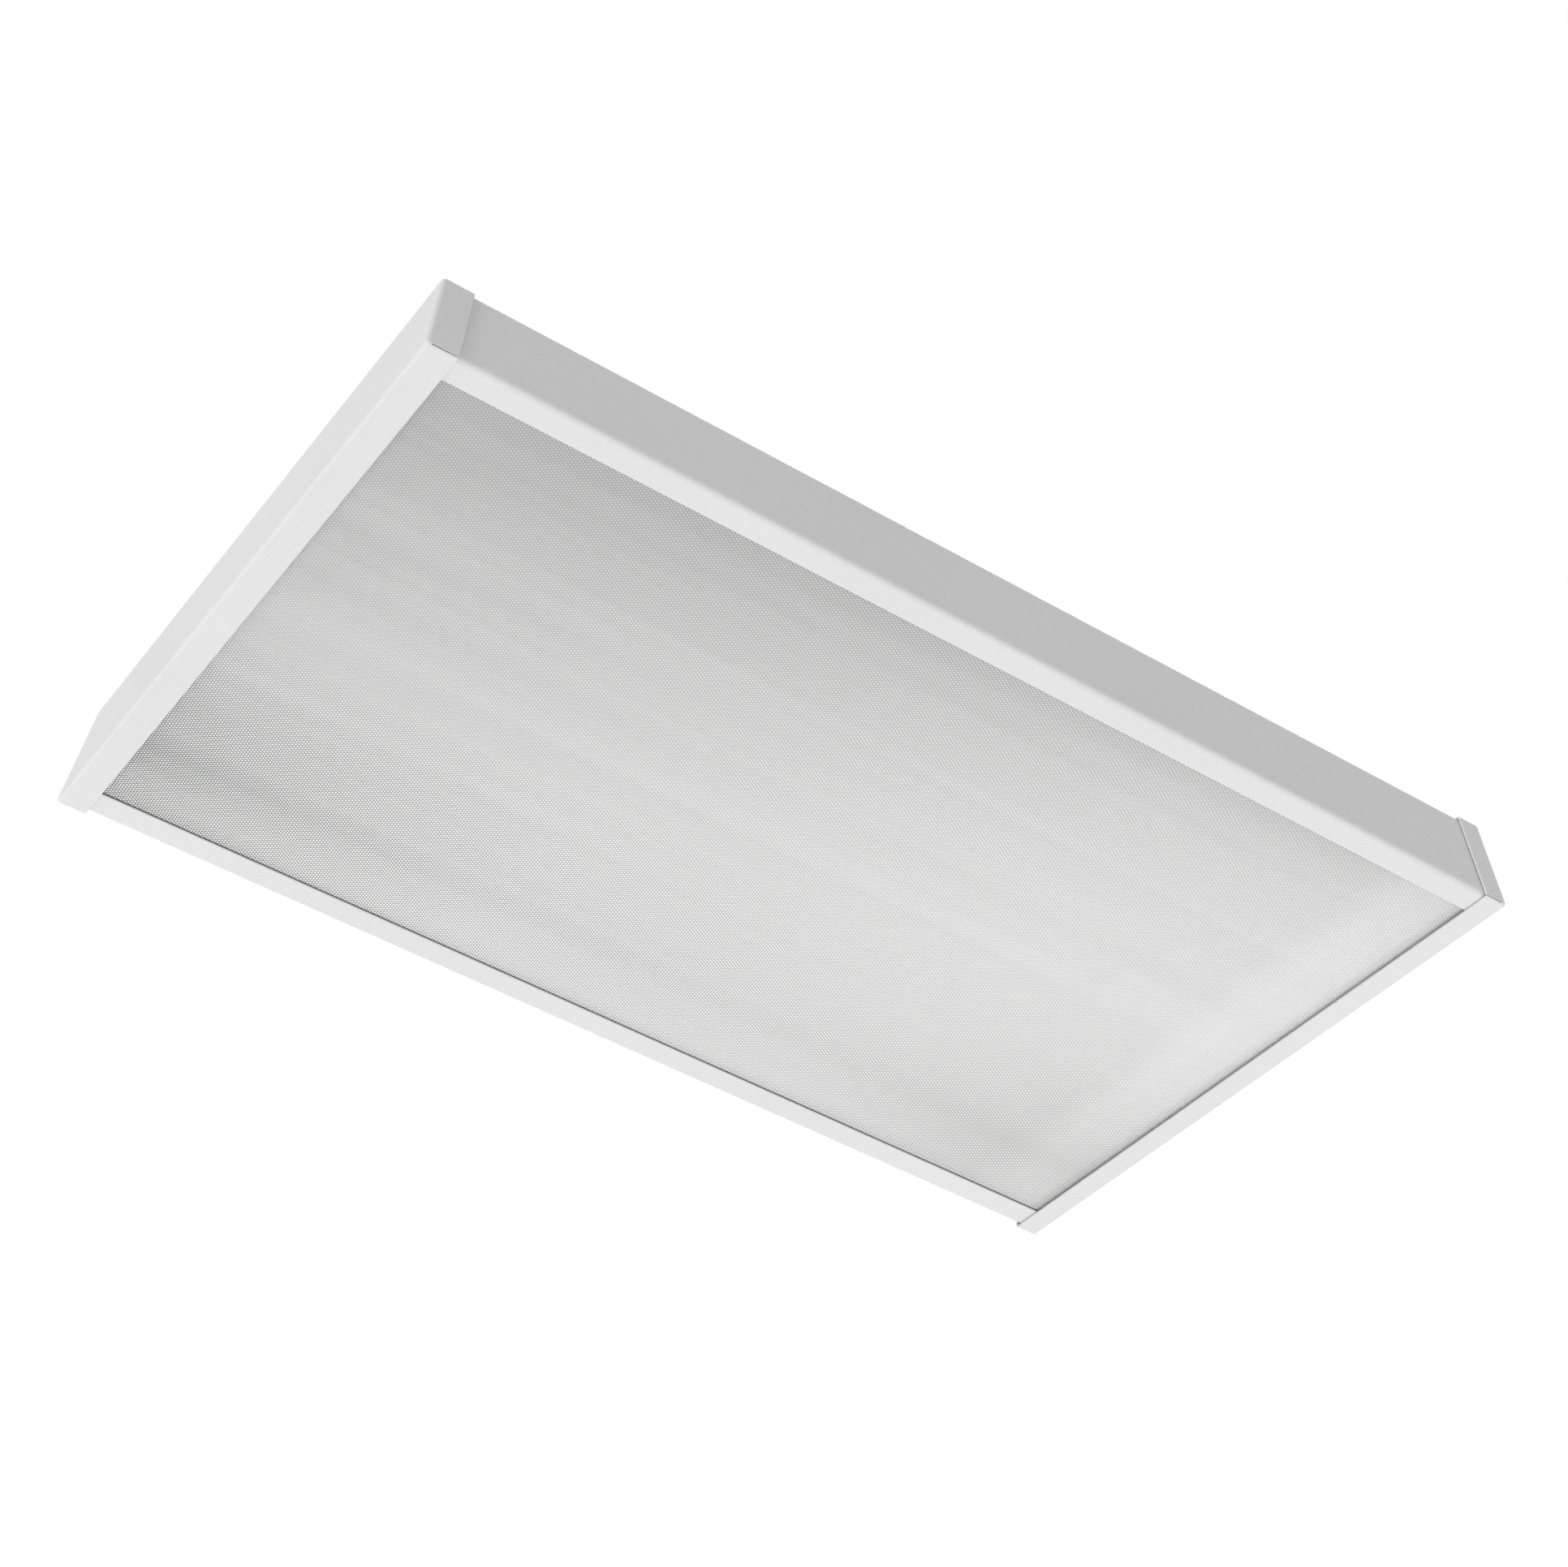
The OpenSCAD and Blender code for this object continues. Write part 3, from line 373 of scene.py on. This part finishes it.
def brushed_metal(name, first, second):
    """Folded aluminium sheet with brushing along the light."""
    s = Shader(name, Metallic=1.0)
    lines = s.noise(scale=1.0, detail=3.0, roughness=0.6, place=s.stretched((30.0, 1800.0, 1800.0)))
    s.colour(s.mixed(s.varied(lines, 0.0, 1.0), first, second))
    s.roughness(s.varied(lines, 0.30, 0.45))
    s.bump(lines, distance=0.00003, strength=0.4)
    return s.material


def moulded(name, first, second, roughness, rougher=0.12, grain=900.0):
    """A moulded or coated plastic or rubber with a fine grain."""
    s = Shader(name)
    texture = s.noise(scale=grain)
    s.colour(s.mixed(s.varied(texture, 0.0, 1.0), first, second))
    s.roughness(s.varied(s.noise(scale=grain / 3), roughness, roughness + rougher))
    s.bump(texture, distance=0.00003, strength=0.6)
    return s.material


def finish_slots():
    """One material for each slot of the record, put on every node that has that slot."""
    finishes = {
        "white_paint": powder_coat(),
        "prismatic_acrylic": prismatic_acrylic(),
        "zinc_steel": plated_steel(),
        "dark_rubber": moulded("black_rubber", grey(0.012), grey(0.025), 0.60),
        "board_white": moulded("solder_mask", grey(0.80), grey(0.86), 0.25, grain=300.0),
        "lamp_phosphor": moulded("phosphor", (0.86, 0.66, 0.14), (0.92, 0.78, 0.24), 0.20),
        "cream_plastic": moulded("cream_nylon", (0.80, 0.78, 0.70), (0.86, 0.84, 0.77), 0.40),
        "driver_metal": brushed_metal("driver_case", (0.60, 0.61, 0.63), (0.72, 0.73, 0.75)),
        "black_plastic": moulded("black_nylon", grey(0.015), grey(0.030), 0.42),
        "green_steel": moulded("green_zinc", (0.02, 0.17, 0.05), (0.04, 0.24, 0.08), 0.30),
        "black_pvc": moulded("black_lead", grey(0.010), grey(0.020), 0.35),
        "white_pvc": moulded("white_lead", grey(0.74), grey(0.80), 0.35),
        "green_pvc": moulded("green_lead", (0.02, 0.16, 0.04), (0.03, 0.22, 0.06), 0.35),
        "red_pvc": moulded("red_lead", (0.38, 0.02, 0.02), (0.48, 0.03, 0.03), 0.35),
        "blue_pvc": moulded("blue_lead", (0.02, 0.03, 0.22), (0.03, 0.05, 0.30), 0.35),
    }
    for part in frame["record"]["subparts"]:
        mesh = NODES[part["node"]].data
        mesh.materials.clear()
        mesh.materials.append(finishes[part["material_slot"]])
    return finishes


def round_edges(piece, width, segments):
    bevel = piece.modifiers.new("edges", "BEVEL")
    bevel.width = width
    bevel.segments = segments
    bevel.limit_method = "ANGLE"
    bevel.angle_limit = EDGE_ANGLE


def soften_nodes():
    """Rounds the cut edges of the plain CAD pieces."""
    for node, width in NODE_EDGES.items():
        round_edges(NODES[node], width, NODE_EDGE_SEGMENTS)


def block(mesh, x, y, length, width, z_from, z_to):
    """Adds a box to a mesh under construction, centred on x and y, between two heights."""
    made = bmesh.ops.create_cube(mesh, size=1.0)["verts"]
    bmesh.ops.scale(mesh, vec=(length, width, z_to - z_from), verts=made)
    bmesh.ops.translate(mesh, vec=(x, y, (z_from + z_to) / 2), verts=made)
    return made


def disc(mesh, x, y, z_from, radius, height):
    """Adds an upright round to a mesh under construction, standing on a height."""
    made = bmesh.ops.create_cone(
        mesh, cap_ends=True, segments=DISC_SIDES, radius1=radius, radius2=radius, depth=height
    )["verts"]
    bmesh.ops.translate(mesh, vec=(x, y, z_from + height / 2), verts=made)
    return made


def add_piece(name, built, slot, edge=0.0):
    """Puts a built mesh into the scene, riding on the housing."""
    bmesh.ops.recalc_face_normals(built, faces=built.faces)
    mesh = bpy.data.meshes.new(name)
    built.to_mesh(mesh)
    built.free()
    mesh.materials.append(FINISHES[slot])
    piece = bpy.data.objects.new(name, mesh)
    bpy.context.scene.collection.objects.link(piece)
    if edge:
        round_edges(piece, edge, PIECE_EDGE_SEGMENTS)
    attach(piece, "housing")
    return piece


def add_package(packages, windows, x, y, side, under, face):
    """Adds a lamp package below a board's face, with a rim and a window sunk into its underside."""
    made = block(packages, x, y, side, side, under, face)
    lowest = min({f for vert in made for f in vert.link_faces}, key=lambda f: f.calc_center_median().z)
    bmesh.ops.inset_individual(packages, faces=[lowest], thickness=WINDOW_RIM, depth=-WINDOW_DEPTH)
    window = side - 2 * (WINDOW_RIM + WINDOW_PLAY)
    block(windows, x, y, window, window, under + WINDOW_SINK, under + WINDOW_DEPTH)


def dress_board(number):
    """Lamp packages with a phosphor window each, and the small parts beside them on a board."""
    lamps_low, lamps_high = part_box("lamps_%d" % number)
    board_low, board_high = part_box("lamp_board_%d" % number)
    face = board_low[2]
    side = lamps_high[1] - lamps_low[1]
    lamps_y = (lamps_low[1] + lamps_high[1]) / 2
    board_y = (board_low[1] + board_high[1]) / 2
    first_x = lamps_low[0] + side / 2
    count = round((lamps_high[0] - lamps_low[0] - side) / LAMP_PITCH) + 1
    packages, windows, resistors, pads, tracks = (bmesh.new() for _ in range(5))
    for i in range(count):
        x = first_x + i * LAMP_PITCH
        add_package(packages, windows, x, lamps_y, side, lamps_low[2], face)
        for end in (-1, 1):
            pad_x = x + end * (side + LAMP_PAD_L) / 2
            block(pads, pad_x, lamps_y, LAMP_PAD_L, LAMP_PAD_W, face - LAMP_PAD_T, face)
        if i % RESISTOR_EVERY == 1 and i < count - 1:
            chip_x = x + LAMP_PITCH / 2
            chip_y = board_y - RESISTOR_OFF
            block(resistors, chip_x, chip_y, RESISTOR_L, RESISTOR_W, face - RESISTOR_T, face)
            for end in (-1, 1):
                pad_x = chip_x + end * (RESISTOR_L + RESISTOR_PAD_L) / 2
                block(pads, pad_x, chip_y, RESISTOR_PAD_L, RESISTOR_W, face - RESISTOR_PAD_T, face)
    track_x = (lamps_low[0] + lamps_high[0]) / 2
    for offset in TRACK_OFFSETS:
        track_l = lamps_high[0] - lamps_low[0]
        block(tracks, track_x, board_y + offset, track_l, TRACK_W, face - TRACK_T, face)
    replacing = add_piece("lamp_packages_%d" % number, packages, "cream_plastic", PACKAGE_EDGE)
    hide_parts("lamps_%d" % number)
    add_piece("lamp_windows_%d" % number, windows, "lamp_phosphor", WINDOW_EDGE)
    add_piece("board_resistors_%d" % number, resistors, "black_plastic", RESISTOR_EDGE)
    add_piece("board_pads_%d" % number, pads, "zinc_steel")
    add_piece("board_tracks_%d" % number, tracks, "board_white")


def add_terminal_screws():
    """A slotted clamping screw in each pocket of the terminal block."""
    low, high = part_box("terminal_block")
    x = (low[0] + high[0]) / 2
    floor_z = low[2] + (high[2] - low[2]) * POCKET_FLOOR
    pitch = (high[1] - low[1]) / (POLES + 1)
    heads = bmesh.new()
    for pole in range(POLES):
        y = low[1] + (pole + 1) * pitch
        disc(heads, x, y, floor_z, CLAMP_R, CLAMP_BASE_H)
        for side in (-1, 1):
            slot_z = floor_z + CLAMP_BASE_H
            made = disc(heads, x, y, slot_z - CLAMP_SINK, CLAMP_R - CLAMP_SINK, SLOT_DEPTH + CLAMP_SINK)
            cut = bmesh.ops.bisect_plane(
                heads,
                geom=list({g for vert in made for g in (vert, *vert.link_edges, *vert.link_faces)}),
                plane_co=(x + side * SLOT_W / 2, 0.0, 0.0),
                plane_no=(side, 0.0, 0.0),
                clear_inner=True,
            )["geom_cut"]
            rim = [g for g in cut if isinstance(g, bmesh.types.BMEdge)]
            bmesh.ops.contextual_create(heads, geom=rim)
    add_piece("terminal_screws", heads, "zinc_steel", CLAMP_EDGE)


def seen_share(tree):
    """A socket that is 1 where the camera, gloss or a clear part looks, and 0 in the light on the object."""
    path = tree.nodes.new("ShaderNodeLightPath")
    seen = path.outputs["Is Camera Ray"]
    for ray in "Is Glossy Ray", "Is Transmission Ray":
        either = tree.nodes.new("ShaderNodeMath")
        either.operation = "MAXIMUM"
        tree.links.new(seen, either.inputs[0])
        tree.links.new(path.outputs[ray], either.inputs[1])
        seen = either.outputs[0]
    return seen


def add_world():
    """White where it is seen, and a plain grey light on everything else."""
    world = bpy.data.worlds.new("studio")
    world.use_nodes = True
    tree = world.node_tree
    tree.nodes.clear()
    strength = tree.nodes.new("ShaderNodeMapRange")
    strength.inputs["To Min"].default_value = WORLD_LIGHT
    strength.inputs["To Max"].default_value = SEEN_WHITE
    tree.links.new(seen_share(tree), strength.inputs["Value"])
    background = tree.nodes.new("ShaderNodeBackground")
    background.inputs["Color"].default_value = (*grey(1.0), 1.0)
    tree.links.new(strength.outputs["Result"], background.inputs["Strength"])
    output = tree.nodes.new("ShaderNodeOutputWorld")
    tree.links.new(background.outputs[0], output.inputs["Surface"])
    bpy.context.scene.world = world


def add_lamps():
    for name, (towards, strength, spread) in LAMPS.items():
        data = bpy.data.lights.new(name, "SUN")
        data.energy = math.pi * strength
        data.angle = math.radians(spread)
        lamp = bpy.data.objects.new(name, data)
        lamp.rotation_mode = "QUATERNION"
        lamp.rotation_quaternion = towards.to_track_quat("Z", "Y")
        bpy.context.scene.collection.objects.link(lamp)


def add_floor():
    """A pale floor that is seen as white outside the object's shadow."""
    s = Shader("floor_paint", Roughness=0.9, Emission_Color=grey(1.0))
    s.colour(s.mixed(s.varied(s.noise(scale=60.0), 0.0, 1.0), grey(0.855), grey(0.865)))
    s.set(s.principled, "Emission Strength", s.product(seen_share(s.tree), FLOOR_GLOW))
    mesh = bpy.data.meshes.new("floor")
    corners = [(x * FLOOR_HALF, y * FLOOR_HALF, FLOOR_Z) for x, y in ((-1, -1), (1, -1), (1, 1), (-1, 1))]
    mesh.from_pydata(corners, [], [(0, 1, 2, 3)])
    mesh.materials.append(s.material)
    floor = bpy.data.objects.new("floor", mesh)
    floor.visible_shadow = False
    bpy.context.scene.collection.objects.link(floor)


def add_camera():
    data = bpy.data.cameras.new("camera")
    data.sensor_width = SENSOR_MM
    data.lens = FOCAL_PX / PHOTO_W * SENSOR_MM
    data.clip_start = CLIP_START
    data.clip_end = CLIP_END
    camera = bpy.data.objects.new("camera", data)
    turn = Euler([math.radians(angle) for angle in CAMERA_TURN])
    camera.matrix_world = Matrix.LocRotScale(Vector(CAMERA_AT), turn, None)
    bpy.context.scene.collection.objects.link(camera)
    bpy.context.scene.camera = camera


add_camera()
FINISHES = finish_slots()
soften_nodes()
for number in range(1, BOARDS + 1):
    dress_board(number)
add_terminal_screws()
add_world()
add_lamps()
add_floor()

bpy.context.scene.view_settings.view_transform = "Standard"
